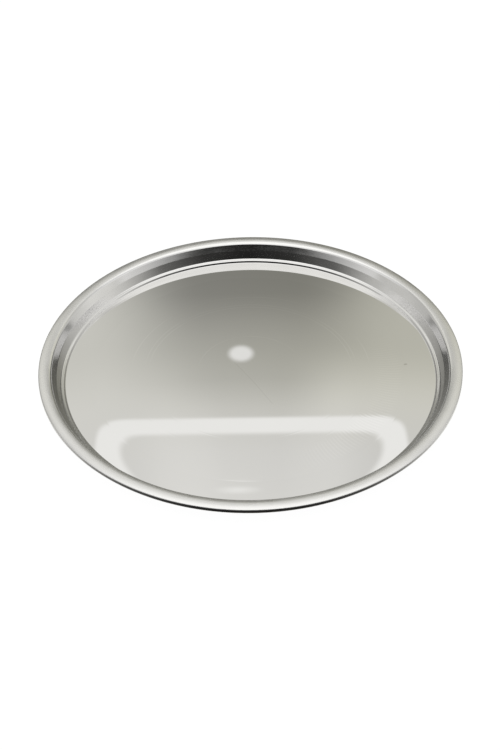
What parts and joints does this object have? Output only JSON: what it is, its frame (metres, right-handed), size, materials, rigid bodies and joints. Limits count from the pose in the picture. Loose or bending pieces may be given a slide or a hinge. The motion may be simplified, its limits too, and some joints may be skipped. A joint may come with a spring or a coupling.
{
  "type": "serving tray",
  "caption": "Round shallow steel serving tray with a flat mirror-polished base, a low sloped wall and a broad rim rolled over a wire.",
  "frame": {"origin": "centre of the underside of the flat base, which the tray stands on", "axes": "+Z is the tray's axis of symmetry and points up out of the well; the tray is round, so X and Y lie in any direction, and +X passes through the joint in the rim wire"},
  "size_m": [0.4, 0.4, 0.0197],
  "materials": {
    "polished_sheet": "polished",
    "wire_steel": "satin"
  },
  "bodies": {
    "root": {"tray_pan": "polished_sheet", "rim_wire": "wire_steel"}
  },
  "joints": []
}
